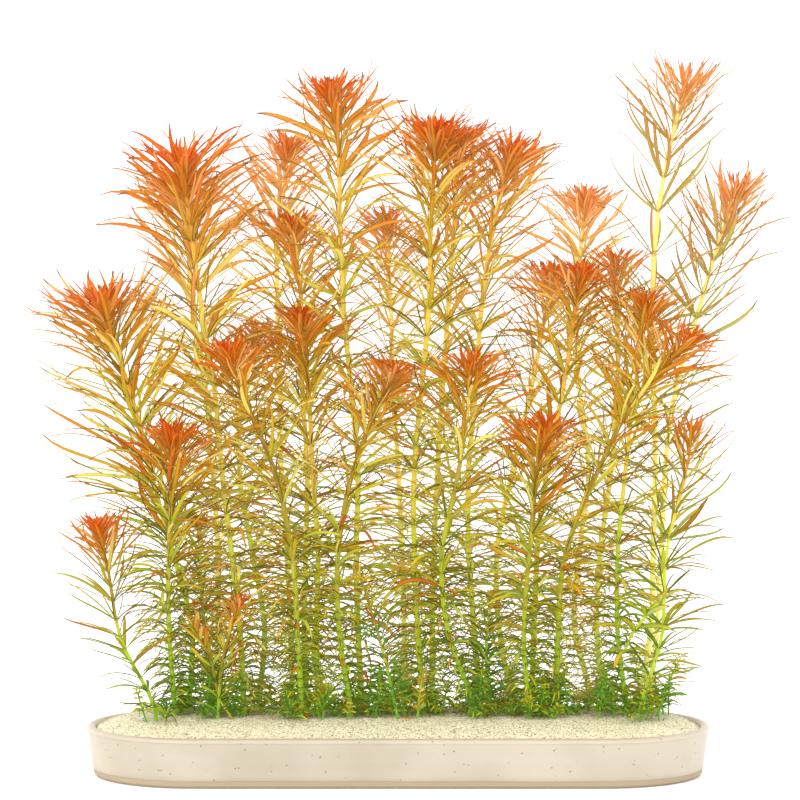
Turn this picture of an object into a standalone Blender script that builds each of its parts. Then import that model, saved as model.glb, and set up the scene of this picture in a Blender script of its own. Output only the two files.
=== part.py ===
"""A stand of whorled aquarium stem plants in an oblong stoneware pot of sand.

Blender's units are metres and +Z is up. The origin is the centre of the pot's flat underside, +X runs
along the pot to the viewer's right and -Y faces the viewer. Sizes below are in millimetres, and heights
in the table of shoots are counted from the top of the sand.
"""

import math
from collections import namedtuple

import bmesh
import bpy
from mathutils import Matrix, Vector

MM = 0.001

# Pot: a trough with straight long sides and round ends
POT_LENGTH = 344
POT_WIDTH = 120
POT_HEIGHT = 28
POT_DRAFT = 4
WALL = 5
FLOOR = 5
FOOT_CHAMFER = 1.5
FLOOR_FILLET = 2.5
POT_STEPS = 32
RIM_STEPS = 4

# Sand: fills the pot and is heaped above the rim
SAND_TOP = 34
SAND_EDGE = POT_HEIGHT - 2
HEAP_OUTLINE = ((0, 1.0), (24, 1.0), (38, 0.78), (48, 0.4))
FIT_GAP = 0.35

# Shoots: a round stem with a closed envelope round its leaf tips
LEVEL_STEP = 45
ROOT_DEPTH = 20
STEM_FOOT_RADIUS = 2.0
STEM_TOP_RADIUS = 1.4
STEM_TIP_RADIUS = 0.6
YOUNG_STEM_RADIUS = 1.2
BORE_GAP = 0.4
LEAF_START = 4
FOOT_REACH = 20
CROWN_REACH = 40
YOUNG_REACH = 24
CROWN_NARROWING = 7
CROWN_DEPTH = 30
CROWN_RISE = 17
CROWN_TOP_REACH = 10
ENVELOPE_SIDES = 8
HALF_GAP = 0.4
THINNEST_WALL = 0.4

# depth: Y of the foot and of the tip. across: X at the sand and at every LEVEL_STEP above it.
# tip: X and height of the growing tip
Shoot = namedtuple("Shoot", "depth across tip")

GROWN_SHOOTS = (
    Shoot((-24, -30), (-132, -152, -160), (-165, 108)),
    Shoot((-8, -16), (-123, -126, -126, -124), (-124, 157)),
    Shoot((12, 0), (-116, -114, -125, -137, -148), (-165, 227)),
    Shoot((22, 26), (-101, -100, -100, -103, -107, -115, -117), (-123, 289)),
    Shoot((-6, 2), (-85, -87, -92, -97, -101, -108, -114), (-120, 308)),
    Shoot((14, 10), (-77, -74, -81, -88, -85), (-77, 211)),
    Shoot((34, 28), (-59, -60, -62, -65, -66, -67, -66), (-60, 312)),
    Shoot((-20, -26), (-53, -55, -58, -67, -85), (-93, 203)),
    Shoot((16, 6), (-51, -52, -51, -50, -53, -53), (-58, 271)),
    Shoot((-4, -8), (-44, -45, -44, -47, -49), (-53, 221)),
    Shoot((-18, -24), (-26, -32, -33, -25, -7), (0, 193)),
    Shoot((2, 6), (-20, -22, -23, -22, -26, -30, -32, -33), (-37, 343)),
    Shoot((26, 30), (4, 3, 2, 0, -3, -4), (-7, 272)),
    Shoot((-4, -2), (14, 11, 9, 9, 13, 17, 18), (21, 322)),
    Shoot((16, 14), (19, 19, 20, 22, 25, 28, 31), (34, 317)),
    Shoot((-16, -20), (43, 28, 24, 33, 39), (40, 197)),
    Shoot((10, 8), (45, 42, 39, 39, 43, 46, 53), (63, 311)),
    Shoot((22, 14), (63, 56, 55, 64, 74), (85, 243)),
    Shoot((-18, -22), (72, 69, 72, 76), (81, 163)),
    Shoot((6, 0), (74, 75, 77, 82, 91), (100, 244)),
    Shoot((-8, -24), (88, 88, 92, 109, 133), (162, 211)),
    Shoot((24, 28), (108, 98, 101, 106, 100, 99), (104, 285)),
    Shoot((10, 14), (114, 110, 112, 118, 121), (120, 252)),
    Shoot((-6, -4), (126, 121, 121, 125, 130), (136, 230)),
    Shoot((-22, -12), (132, 145, 147, 158), (162, 160)),
    Shoot((10, 8), (134, 140, 141, 142, 141, 140, 142, 150), (159, 352)),
    Shoot((24, 18), (140, 144, 146, 148, 154, 167, 181), (189, 289)),
)

YOUNG_SHOOTS = (
    Shoot((4, 6), (-102, -107), (-110, 110)),
    Shoot((-24, -28), (-99, -94), (-88, 66)),
    Shoot((-4, -6), (51, 49), (53, 70)),
    Shoot((-8, -10), (143,), (157, 35)),
)


def finish(name, colour, roughness):
    """A plain painted or grown surface of one colour."""
    material = bpy.data.materials.new(name)
    material.use_nodes = True
    shader = material.node_tree.nodes["Principled BSDF"]
    shader.inputs["Base Color"].default_value = (*colour, 1)
    shader.inputs["Roughness"].default_value = roughness
    shader.inputs["Metallic"].default_value = 0
    return material


def new_object(name, data, collection, material=None):
    obj = bpy.data.objects.new(name, data)
    collection.objects.link(obj)
    if material:
        data.materials.append(material)
    return obj


def smooth_to_edges(mesh, angle=math.radians(40)):
    mesh.shade_smooth()
    mesh.set_sharp_from_angle(angle=angle)


def turned_trough(name, profile, straight, collection, material):
    """Turns a profile of (radius, height) into a round pot and draws its halves apart along X."""
    mesh = bpy.data.meshes.new(name)
    half_step = math.pi / POT_STEPS
    points = [
        Matrix.Rotation(half_step, 3, "Z") @ Vector((radius, 0, height)) * MM
        for radius, height in profile
    ]
    edges = [(i, i + 1) for i in range(len(points) - 1)]
    mesh.from_pydata(points, edges, [])
    obj = new_object(name, mesh, collection, material)
    screw = obj.modifiers.new("Turn", "SCREW")
    screw.steps = screw.render_steps = POT_STEPS
    screw.use_merge_vertices = True
    screw.merge_threshold = 0.00005
    bpy.context.view_layer.update()
    evaluated = obj.evaluated_get(bpy.context.evaluated_depsgraph_get())
    obj.data = bpy.data.meshes.new_from_object(evaluated)
    obj.modifiers.clear()
    for vertex in obj.data.vertices:
        if abs(vertex.co.x) > 0.0001:
            vertex.co.x += math.copysign(straight / 2 * MM, vertex.co.x)
    smooth_to_edges(obj.data)
    return obj


def inner_radius(height):
    """The inside of the pot's wall, which leans outwards with height."""
    rim = POT_WIDTH / 2 - WALL
    return rim - POT_DRAFT * (POT_HEIGHT - height) / POT_HEIGHT


def pot_profile():
    rim_radius = WALL / 2
    rim_centre = (POT_WIDTH / 2 - rim_radius, POT_HEIGHT - rim_radius)
    base = POT_WIDTH / 2 - POT_DRAFT
    profile = [
        (0, FLOOR),
        (inner_radius(FLOOR) - FLOOR_FILLET, FLOOR),
        (inner_radius(FLOOR + FLOOR_FILLET), FLOOR + FLOOR_FILLET),
    ]
    for step in range(RIM_STEPS + 1):
        turn = math.pi * (1 - step / RIM_STEPS)
        profile.append(
            (
                rim_centre[0] + rim_radius * math.cos(turn),
                rim_centre[1] + rim_radius * math.sin(turn),
            )
        )
    profile += [(base, FOOT_CHAMFER), (base - FOOT_CHAMFER, 0), (0, 0)]
    return profile


def sand_profile():
    floor = FLOOR + FIT_GAP
    fillet_top = floor + FLOOR_FILLET
    heap = [
        (radius, SAND_EDGE + share * (SAND_TOP - SAND_EDGE))
        for radius, share in HEAP_OUTLINE
    ]
    walls = [
        (inner_radius(SAND_EDGE) - FIT_GAP, SAND_EDGE),
        (inner_radius(fillet_top) - FIT_GAP, fillet_top),
        (inner_radius(floor) - FIT_GAP - FLOOR_FILLET, floor),
        (0, floor),
    ]
    return heap + walls


def knots(shoot):
    """The points (x, y, height) where a stem may bend: the sand, each level above it, and the tip."""
    tip_across, tip_height = shoot.tip
    foot_depth, tip_depth = shoot.depth
    heights = [level * LEVEL_STEP for level in range(len(shoot.across))]
    points = [
        Vector((across, foot_depth + (tip_depth - foot_depth) * height / tip_height, height))
        for across, height in zip(shoot.across, heights)
    ]
    return points + [Vector((tip_across, tip_depth, tip_height))]


def centre(shoot, height):
    """The stem's centre (x, y) at a height, held at the tip above it."""
    points = knots(shoot)
    for low, high in zip(points, points[1:]):
        if height <= high.z:
            share = max(0, (height - low.z) / (high.z - low.z))
            return low.lerp(high, share).xy
    return points[-1].xy


def top(shoot):
    return shoot.tip[1] + CROWN_RISE


def reach(shoot, height, crown_reach):
    """How far the leaf tips stand from the stem: short at the foot, longest under the crown."""
    below_tip = shoot.tip[1] - height
    if below_tip < 0:
        return CROWN_TOP_REACH
    climbed = min(1, height / (shoot.tip[1] - min(CROWN_DEPTH, shoot.tip[1] / 2)))
    narrowing = CROWN_NARROWING * max(0, 1 - below_tip / CROWN_DEPTH)
    return FOOT_REACH + (crown_reach - FOOT_REACH) * climbed - narrowing


def parting_plane(shoot, other, level):
    """The upright plane that halves the space between two stems between a level and the next one.

    It is given as its horizontal normal, towards the other stem, and its places along that normal at
    the two levels.
    """
    low = level * LEVEL_STEP
    high = low + LEVEL_STEP
    ends = [(centre(shoot, height), centre(other, height)) for height in (low, high)]
    normal = sum((theirs - own for own, theirs in ends), Vector((0, 0))).normalized()
    places = [normal.dot(own + theirs) / 2 for own, theirs in ends]
    return normal, places


def room(shoot, others, height, low, high, direction, most):
    """The free distance from the stem along a direction, for a ring that spans from low to high."""
    start = centre(shoot, height)
    for other in others:
        for level in range(int(low // LEVEL_STEP), int(high // LEVEL_STEP) + 1):
            ends_below = top(other) <= level * LEVEL_STEP
            if ends_below or level * LEVEL_STEP >= high:
                continue
            normal, places = parting_plane(shoot, other, level)
            rise = height / LEVEL_STEP - level
            place = places[0] + (places[1] - places[0]) * rise - HALF_GAP
            free = place - normal.dot(start)
            if free < STEM_FOOT_RADIUS + BORE_GAP + THINNEST_WALL:
                raise ValueError(f"stems at {start} and {centre(other, height)} are too close")
            towards = normal.dot(direction)
            if towards > 0:
                most = min(most, free / towards)
    return most


def ring_heights(shoot):
    tip = shoot.tip[1]
    levels = range(LEVEL_STEP, int(tip) - LEVEL_STEP // 4, LEVEL_STEP)
    return [LEAF_START, *levels, tip, top(shoot)]


def envelope_rings(shoot, others, crown_reach):
    """Rings of points round the leaf tips, each held back at the planes that part it from neighbours."""
    heights = ring_heights(shoot)
    spans = zip([LEAF_START, *heights], heights, [*heights[1:], heights[-1]])
    rings = []
    for low, height, high in spans:
        ring = []
        for side in range(ENVELOPE_SIDES):
            turn = 2 * math.pi * side / ENVELOPE_SIDES
            direction = Vector((math.cos(turn), math.sin(turn)))
            length = reach(shoot, height, crown_reach)
            length = room(shoot, others, height, low, high, direction, length)
            ring.append(world_point(centre(shoot, height) + direction * length, height))
        rings.append(ring)
    return rings


def world_point(place, height):
    return Vector((place.x, place.y, SAND_TOP + height)) * MM


def collar_ring(shoot, height):
    """A small ring round a young shoot's own stem."""
    ring = []
    for side in range(ENVELOPE_SIDES):
        turn = 2 * math.pi * side / ENVELOPE_SIDES
        offset = Vector((math.cos(turn), math.sin(turn))) * YOUNG_STEM_RADIUS
        ring.append(world_point(centre(shoot, height) + offset, height))
    return ring


def loft(name, rings, collection, material):
    """A closed skin over rings of unlike shapes, from the lowest to the highest."""
    mesh = bpy.data.meshes.new(name)
    form = bmesh.new()
    loops = [[form.verts.new(point) for point in ring] for ring in rings]
    for lower, upper in zip(loops, loops[1:]):
        for side in range(ENVELOPE_SIDES):
            after = (side + 1) % ENVELOPE_SIDES
            form.faces.new((lower[side], lower[after], upper[after], upper[side]))
    form.faces.new(loops[0][::-1])
    form.faces.new(loops[-1])
    bmesh.ops.triangulate(form, faces=form.faces)
    form.to_mesh(mesh)
    form.free()
    return new_object(name, mesh, collection, material)


def tube(name, points, radii, collection, material=None):
    """A round stem along straight runs between points, with closed ends."""
    curve = bpy.data.curves.new(name, "CURVE")
    curve.dimensions = "3D"
    curve.bevel_depth = MM
    curve.bevel_resolution = 1
    curve.use_fill_caps = True
    spline = curve.splines.new("POLY")
    spline.points.add(len(points) - 1)
    for target, point, radius in zip(spline.points, points, radii):
        target.co = (*point, 1)
        target.radius = radius
    return new_object(name, curve, collection, material)


def stem_points(shoot, root_extra=0, tip_extra=0):
    points = knots(shoot)
    root = points[0] - Vector((0, 0, ROOT_DEPTH + root_extra))
    points[-1] += Vector((0, 0, tip_extra))
    return [world_point(point.xy, point.z) for point in [root, *points]]


def stem_radii(shoot, gap=0):
    """Thickest at the root, tapering evenly to the last bend and then to the growing tip."""
    bends = len(shoot.across)
    taper = [
        STEM_FOOT_RADIUS + (STEM_TOP_RADIUS - STEM_FOOT_RADIUS) * bend / bends
        for bend in range(bends)
    ]
    return [radius + gap for radius in (STEM_FOOT_RADIUS, *taper, STEM_TIP_RADIUS)]


def as_cutter(curve_object, cutters):
    """Turns a tube into a closed mesh that can cut, and keeps it out of the render."""
    bpy.context.view_layer.update()
    evaluated = curve_object.evaluated_get(bpy.context.evaluated_depsgraph_get())
    mesh = bpy.data.meshes.new_from_object(evaluated)
    form = bmesh.new()
    form.from_mesh(mesh)
    bmesh.ops.remove_doubles(form, verts=form.verts, dist=0.00001)
    bmesh.ops.recalc_face_normals(form, faces=form.faces)
    form.to_mesh(mesh)
    form.free()
    cutter = bpy.data.objects.new(curve_object.name + "_bore", mesh)
    cutter.matrix_world = curve_object.matrix_world
    cutters.objects.link(cutter)
    cutter.hide_render = True
    cutter.display_type = "WIRE"
    bpy.data.objects.remove(curve_object)
    return cutter


def cut(obj, cutter):
    boolean = obj.modifiers.new("Bore", "BOOLEAN")
    boolean.operation = "DIFFERENCE"
    boolean.object = cutter


def grown_shoot(number, shoot, others, collection, cutters, stem_finish, leaf_finish):
    """A stem and the envelope of its leaves, with room round the stem."""
    tube(f"stem_{number:02d}", stem_points(shoot), stem_radii(shoot), collection, stem_finish)
    bore_curve = tube(
        f"bore_{number:02d}",
        stem_points(shoot, root_extra=BORE_GAP, tip_extra=BORE_GAP),
        stem_radii(shoot, gap=BORE_GAP),
        cutters,
    )
    bore = as_cutter(bore_curve, cutters)
    rings = envelope_rings(shoot, others, CROWN_REACH)
    leaves = loft(f"leaves_{number:02d}", rings, collection, leaf_finish)
    cut(leaves, bore)


def young_shoot(number, shoot, others, collection, cutters, leaf_finish):
    """A short thin shoot, stem and leaves in one skin."""
    rings = [collar_ring(shoot, -ROOT_DEPTH / 2), collar_ring(shoot, LEAF_START)]
    rings += envelope_rings(shoot, others, YOUNG_REACH)
    loft(f"young_shoot_{number}", rings, collection, leaf_finish)
    ends = [-ROOT_DEPTH / 2 - BORE_GAP, LEAF_START]
    radius = YOUNG_STEM_RADIUS + 2 * BORE_GAP
    points = [world_point(centre(shoot, height), height) for height in ends]
    as_cutter(tube(f"young_bore_{number}", points, [radius, radius], cutters), cutters)


def main():
    for obj in list(bpy.data.objects):
        bpy.data.objects.remove(obj)
    scene = bpy.context.scene
    stand = bpy.data.collections.new("Potted stem plants")
    cutters = bpy.data.collections.new("Cutters")
    scene.collection.children.link(stand)
    scene.collection.children.link(cutters)

    stoneware = finish("Cream stoneware", (0.78, 0.74, 0.66), 0.55)
    grains = finish("Pale sand", (0.79, 0.72, 0.52), 0.9)
    stem_green = finish("Yellow green stem", (0.62, 0.56, 0.14), 0.45)
    leaf_orange = finish("Orange leaf", (0.80, 0.30, 0.05), 0.5)

    straight = POT_LENGTH - POT_WIDTH
    turned_trough("pot", pot_profile(), straight, stand, stoneware)
    sand = turned_trough("sand", sand_profile(), straight, stand, grains)

    everything = (*GROWN_SHOOTS, *YOUNG_SHOOTS)
    for number, shoot in enumerate(GROWN_SHOOTS, 1):
        others = [other for other in everything if other is not shoot]
        grown_shoot(number, shoot, others, stand, cutters, stem_green, leaf_orange)
    for number, shoot in enumerate(YOUNG_SHOOTS, 1):
        others = [other for other in everything if other is not shoot]
        young_shoot(number, shoot, others, stand, cutters, leaf_orange)

    holes = sand.modifiers.new("Root holes", "BOOLEAN")
    holes.operation = "DIFFERENCE"
    holes.operand_type = "COLLECTION"
    holes.collection = cutters


main()
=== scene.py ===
# %% [markdown]
# # A stand of orange water plants in a stoneware trough
#
# The real object is a low oblong pot of pale sand with about thirty upright stems. Each stem carries
# rings of narrow leaves, orange at the crown and dark green at the foot. This file is a lesson in how to
# dress such a plant: a plain solid model of it is loaded first, and every stem, leaf and sand grain is
# then grown along the places that the solid model gives.

import math
import random
from typing import NamedTuple

import bpy
import numpy as np
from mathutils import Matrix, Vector, noise


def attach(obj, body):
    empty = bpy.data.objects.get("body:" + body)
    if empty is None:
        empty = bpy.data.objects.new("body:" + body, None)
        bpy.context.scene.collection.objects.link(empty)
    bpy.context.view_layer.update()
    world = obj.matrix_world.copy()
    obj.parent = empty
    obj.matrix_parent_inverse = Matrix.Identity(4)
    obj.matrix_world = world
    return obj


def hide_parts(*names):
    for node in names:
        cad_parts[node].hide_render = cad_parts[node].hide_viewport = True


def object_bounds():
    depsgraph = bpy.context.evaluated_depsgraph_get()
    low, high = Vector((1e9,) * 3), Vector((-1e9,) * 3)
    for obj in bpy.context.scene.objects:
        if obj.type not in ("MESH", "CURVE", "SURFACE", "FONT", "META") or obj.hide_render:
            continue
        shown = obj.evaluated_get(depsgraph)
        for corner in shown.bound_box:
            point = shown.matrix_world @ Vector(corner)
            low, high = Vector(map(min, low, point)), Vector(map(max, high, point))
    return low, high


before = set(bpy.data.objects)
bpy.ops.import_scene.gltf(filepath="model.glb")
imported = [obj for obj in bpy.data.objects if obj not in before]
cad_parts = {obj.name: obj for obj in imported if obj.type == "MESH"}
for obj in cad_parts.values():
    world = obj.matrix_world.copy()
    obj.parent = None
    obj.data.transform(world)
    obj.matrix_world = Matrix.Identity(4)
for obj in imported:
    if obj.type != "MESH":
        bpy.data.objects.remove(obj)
SOLID_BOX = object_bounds()
MM = 0.001
solid_corners = [[round(v / MM) for v in corner] for corner in SOLID_BOX]
print("solid model from", solid_corners[0], "to", solid_corners[1], "mm")

# %% [markdown]
# ## The camera
#
# The stand is seen straight from the front, from a little above the sand. A short lens close by would
# spread the near stems and shrink the far ones, so the camera stands far back with a long lens, as a
# product photographer would. The lens follows from one number: how much width fits in the frame.

# %% Camera
VIEW_WIDTH = 440 * MM
VIEW_DISTANCE = 3.6
VIEW_ELEVATION = math.radians(5.5)
AIM = Vector((1.1 * MM, 0.0, 207.5 * MM))
FILM_WIDTH = 36.0

camera_data = bpy.data.cameras.new("camera")
camera_data.sensor_width = FILM_WIDTH
camera_data.lens = FILM_WIDTH * VIEW_DISTANCE / VIEW_WIDTH
camera_data.clip_end = 100.0
camera = bpy.data.objects.new("camera", camera_data)
bpy.context.scene.collection.objects.link(camera)
step_back = Vector((0.0, -math.cos(VIEW_ELEVATION), math.sin(VIEW_ELEVATION)))
camera.location = AIM + step_back * VIEW_DISTANCE
camera.rotation_euler = (-step_back).to_track_quat("-Z", "Y").to_euler()
bpy.context.scene.camera = camera
print("lens of", round(camera_data.lens), "mm")

# %% [markdown]
# ## Colours
#
# A colour is easiest to pick as a web code such as F08A2C, but Blender's sockets want linear light. One
# short function turns one into the other with the standard sRGB curve.

# %% Colour helper
def colour(code):
    """The linear colour, with an alpha of 1, of a six-digit web code."""
    parts = [int(code[at:at + 2], 16) / 255 for at in (0, 2, 4)]
    return (*[p / 12.92 if p <= 0.04045 else ((p + 0.055) / 1.055) ** 2.4 for p in parts], 1.0)


print("orange in linear light:", [round(c, 3) for c in colour("F08A2C")[:3]])

# %% [markdown]
# ## Nodes as Python expressions
#
# Node trees are hard to read when every link is its own line. Two small classes help. `Graph` has one
# method that adds any node, its settings first and then its sockets. It hands back a `Wire`, and Python's
# own + - * / on a wire add the right Math or Vector Math node. A few short methods stand for the nodes
# that come back most. The same two classes serve for materials and for Geometry Nodes.

# %% Wires and graphs
class Wire:
    """One output socket, on which Python's operators add maths nodes."""

    def __init__(self, graph, socket):
        self.graph = graph
        self.socket = socket
        self.is_vector = socket.type in ("VECTOR", "RGBA")

    def other(self, name):
        """Another output of the same node."""
        return Wire(self.graph, self.socket.node.outputs[name])

    def __add__(self, other):
        return self.graph.maths("ADD", self, other)

    def __sub__(self, other):
        return self.graph.maths("SUBTRACT", self, other)

    def __mul__(self, other):
        return self.graph.maths("MULTIPLY", self, other)

    def __truediv__(self, other):
        return self.graph.maths("DIVIDE", self, other)

    def __rsub__(self, other):
        return self.graph.maths("SUBTRACT", other, self)

    def __rtruediv__(self, other):
        return self.graph.maths("DIVIDE", other, self)

    __radd__ = __add__
    __rmul__ = __mul__


def is_vector(value):
    return value.is_vector if isinstance(value, Wire) else isinstance(value, (tuple, Vector))


class Graph:
    """A node tree, with one method that adds any node and short ones for common ones."""

    def __init__(self, tree):
        self.tree = tree
        self.given = {}

    def node(self, kind, settings=None, inputs=None, output=0):
        """Adds a node, gives it its settings and then its inputs, and returns the wire of one output."""
        node = self.tree.nodes.new(kind)
        for name, value in (settings or {}).items():
            if name == "stops":
                set_stops(node.color_ramp, value)
            elif name == "curve":
                set_curve(node.mapping, value)
            else:
                setattr(node, name, value)
        for key, value in (inputs or {}).items():
            for wire in value if isinstance(value, list) else [value]:
                if isinstance(wire, Wire):
                    self.tree.links.new(wire.socket, node.inputs[key])
                else:
                    node.inputs[key].default_value = wire
        return Wire(self, node.outputs[output]) if node.outputs else node

    def maths(self, operation, *values):
        """A Math node, or a Vector Math node where one of the values is a vector."""
        vectors = [is_vector(v) for v in values]
        if not any(vectors):
            return self.node("ShaderNodeMath", {"operation": operation}, dict(enumerate(values)))
        if operation == "MULTIPLY" and not all(vectors):
            arrow, number = values if vectors[0] else values[::-1]
            return self.node("ShaderNodeVectorMath", {"operation": "SCALE"}, {0: arrow, "Scale": number})
        return self.node("ShaderNodeVectorMath", {"operation": operation}, dict(enumerate(values)))

    def cross(self, first, second):
        return self.maths("CROSS_PRODUCT", first, second)

    def swing(self, first, second, angle):
        """The direction that lies this angle away from the first, towards the second."""
        return first * self.maths("COSINE", angle) + second * self.maths("SINE", angle)

    def vector(self, x, y, z=0.0):
        return self.node("ShaderNodeCombineXYZ", inputs={0: x, 1: y, 2: z})

    def parts(self, vector):
        """The X, Y and Z of a vector."""
        x = self.node("ShaderNodeSeparateXYZ", inputs={0: vector})
        return x, x.other("Y"), x.other("Z")

    def blend(self, share, first, second):
        """first where share is 0, and second where it is 1. Each colour is a wire or a web code."""
        ends = [colour(end) if isinstance(end, str) else end for end in (first, second)]
        return self.node("ShaderNodeMix", {"data_type": "RGBA"}, {0: share, 6: ends[0], 7: ends[1]}, 2)

    def step(self, value, low, high):
        """0 at low and 1 at high, with a soft step between them. Either may be the larger one."""
        ends = {"Value": value, "From Min": low, "From Max": high}
        return self.node("ShaderNodeMapRange", {"interpolation_type": "SMOOTHSTEP"}, ends)

    def pick(self, low, high, salt):
        """A random number for each element, or a random vector where low and high are vectors."""
        kind, first, output = ("FLOAT_VECTOR", 0, 0) if is_vector(low) else ("FLOAT", 2, 1)
        inputs = {first: low, first + 1: high, "Seed": self.given["Seed"] + salt}
        return self.node("FunctionNodeRandomValue", {"data_type": kind}, inputs, output)


def set_stops(ramp, stops):
    """Gives a colour ramp its (place, web code) stops."""
    while len(ramp.elements) < len(stops):
        ramp.elements.new(1.0)
    for element, (place, code) in zip(ramp.elements, stops):
        element.position = place
        element.color = colour(code)


def set_curve(mapping, points):
    """Gives a Float Curve its points."""
    curve = mapping.curves[0]
    while len(curve.points) < len(points):
        curve.points.new(1.0, 1.0)
    for point, place in zip(curve.points, points):
        point.location = place
    mapping.update()


print("wires and graphs are ready")

# %% [markdown]
# ## The leaf finish
#
# A thin leaf lit from all round glows: part of its light comes through it. A Translucent shader mixed with
# the usual Principled one lets that part through, and a painted glow, a little light of its own, stands in
# for what scatters inside the wet blade and lifts the shade between the packed leaves. The colour follows
# the leaf's age, from the red-orange crown to the dark green foot, and coats are laid over it, each with
# its share. Some coats are painted light and shade: a painted highlight on the rib, painted shade on the
# margins, on thread-thin leaves and on the grown leaves of some sparse shoots, and painted light on shoots
# at the back. The leaves carry their age and the rest as attributes, which are written when they are grown.

# %% Leaf material
LEAF_STOPS = (
    (0.00, "D25C12"), (0.07, "D2761C"), (0.25, "CA8C28"), (0.40, "CCA22E"), (0.52, "CCB638"),
    (0.64, "C8BC36"), (0.76, "BABC30"), (0.88, "9CB430"), (1.00, "649E38"),
)
LEAF_THROUGH = 0.5
PAINTED_GLOW = 0.46


def new_material(name):
    """The graph of a new empty material."""
    material = bpy.data.materials.new(name)
    material.use_nodes = True
    material.node_tree.nodes.clear()
    graph = Graph(material.node_tree)
    graph.material = material
    return graph


def attribute(graph, name):
    return graph.node("ShaderNodeAttribute", {"attribute_name": name}, output="Fac")


def clouds(graph, place, scale, detail):
    """A smooth random pattern from 0 to 1, which is finer where the scale is larger."""
    return graph.node("ShaderNodeTexNoise", inputs={"Vector": place, "Scale": scale, "Detail": detail})


def paint(graph, hue, *coats):
    """Lays coats over a colour, one after another. Each is a share and a colour."""
    for share, coat in coats:
        hue = graph.blend(share, hue, coat)
    return hue


def finish_material(graph, shader):
    graph.node("ShaderNodeOutputMaterial", inputs={"Surface": shader})
    return graph.material


def finish_watery(graph, surface, share):
    """Closes a material that lets this share of light through and gives off a little painted glow of its
    own.
    """
    skin = graph.node("ShaderNodeBsdfPrincipled", inputs={**surface, "Emission Strength": PAINTED_GLOW})
    through = graph.node("ShaderNodeBsdfTranslucent", inputs={"Color": surface["Base Color"]})
    mixed = graph.node("ShaderNodeMixShader", inputs={0: share, 1: skin, 2: through})
    return finish_material(graph, mixed)


def leaf_material():
    g = new_material("leaf blade")
    along = attribute(g, "along")
    across = g.maths("ABSOLUTE", attribute(g, "across"))
    tone = attribute(g, "tone")
    blush = attribute(g, "blush")
    mottle = clouds(g, g.node("ShaderNodeTexCoord", output="Object"), 420.0, 2.0)
    whorl_age = attribute(g, "age")
    own = tone * (0.10 + 0.16 * g.step(whorl_age, 0.2, 0.5) - 0.12 * g.step(whorl_age, 0.70, 0.90))
    age = whorl_age + own + (mottle - 0.5) * 0.10 + (0.5 - along) * 0.30
    young = g.step(age, 0.34, 0.04)
    grown = 0.3 + 0.7 * g.step(whorl_age, 0.05, 0.30)
    # painted shade, laid on thread-thin leaves and on the grown leaves of some sparse shoots
    painted_shade_hue = g.blend(g.step(age, 0.35, 0.75), "825C26", "526218")
    # faint tints: leaves that are faint at random, and painted light on shoots at the back
    faint_tone_and_painted_light = g.blend(g.step(age, 0.35, 0.65), "F6CA92", "F2E48C")
    # painted shade for the margins, where a blade seen edge-on looks dark
    painted_edge_shade = g.blend(g.step(age, 0.35, 0.75), "8E4E14", "586418")
    hue = paint(
        g, g.node("ShaderNodeValToRGB", {"stops": LEAF_STOPS}, {"Fac": age}),
        # a crown is peach or red after its shoot's blush
        (young * g.step(blush, 0.45, 0.0) * 0.6, "EEA468"),
        (young * g.step(blush, 0.5, 1.0) * 0.20, "F05A14"),
        # thread-thin leaves get painted shade, as a blade seen edge-on looks dark, and some leaves are
        # rusty
        (attribute(g, "slim") * (0.35 + 0.50 * g.step(age, 0.15, 0.45)), painted_shade_hue),
        (attribute(g, "rust"), "CC5A20"),
        # single leaves are faint at random, and painted light makes all those of a shoot at the back paler
        (g.step(tone, 0.15, 0.85) * g.step(whorl_age, 0.95, 0.60) * grown * 0.66, faint_tone_and_painted_light),
        (g.step(attribute(g, "pale"), 0.0, 1.0) * grown * 0.55, faint_tone_and_painted_light),
        # painted shade on the grown leaves of some sparse shoots
        (attribute(g, "dim"), painted_shade_hue),
        # a painted highlight along the rib, painted shade on the margins where a blade seen edge-on looks
        # dark, and the dark tip
        (g.step(across, 0.30, 0.0) * 0.22, "F6C052"),
        (g.step(across, 0.62, 0.94) * 0.62, painted_edge_shade),
        (g.step(along + tone * 0.03, 0.87, 0.96) * 0.72, "644626"),
    )
    surface = {
        "Base Color": hue, "Roughness": 0.42 + mottle * 0.16, "Specular IOR Level": 0.06,
        # a painted glow of the leaf's own hue, a little stronger on young leaves, lifts the shade inside
        # the crowns
        "Emission Color": g.blend(g.step(age, 0.30, 0.55), hue * 0.92, hue * 0.88),
    }
    return finish_watery(g, surface, LEAF_THROUGH)


LEAF = leaf_material()
print("leaf finish with", len(LEAF.node_tree.nodes), "nodes")

# %% [markdown]
# ## The stem finish
#
# The stems are smooth, watery and half clear: orange under the crown, straw coloured in the middle and
# green at the foot, with a faint ring where each whorl of leaves grew. Fine streaks run up them. A noise
# whose pattern is squeezed across and stretched upwards makes such streaks. Shoots at the back get painted
# light and are paler, with a number above 0, and those in front get painted shade and are deeper in colour,
# with a number below 0. A painted glow, stronger low down, lifts the stems out of the shade of the leaves.

# %% Stem material
STEM_STOPS = (
    (0.00, "EC7E2C"), (0.15, "F0A640"), (0.30, "EEC85A"), (0.48, "EEDC6C"), (0.64, "E2E058"),
    (0.78, "CCDA40"), (0.90, "B0CE38"), (1.00, "7ABA36"),
)
STEM_THROUGH = 0.62
STREAKS = (900.0, 900.0, 60.0)


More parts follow.
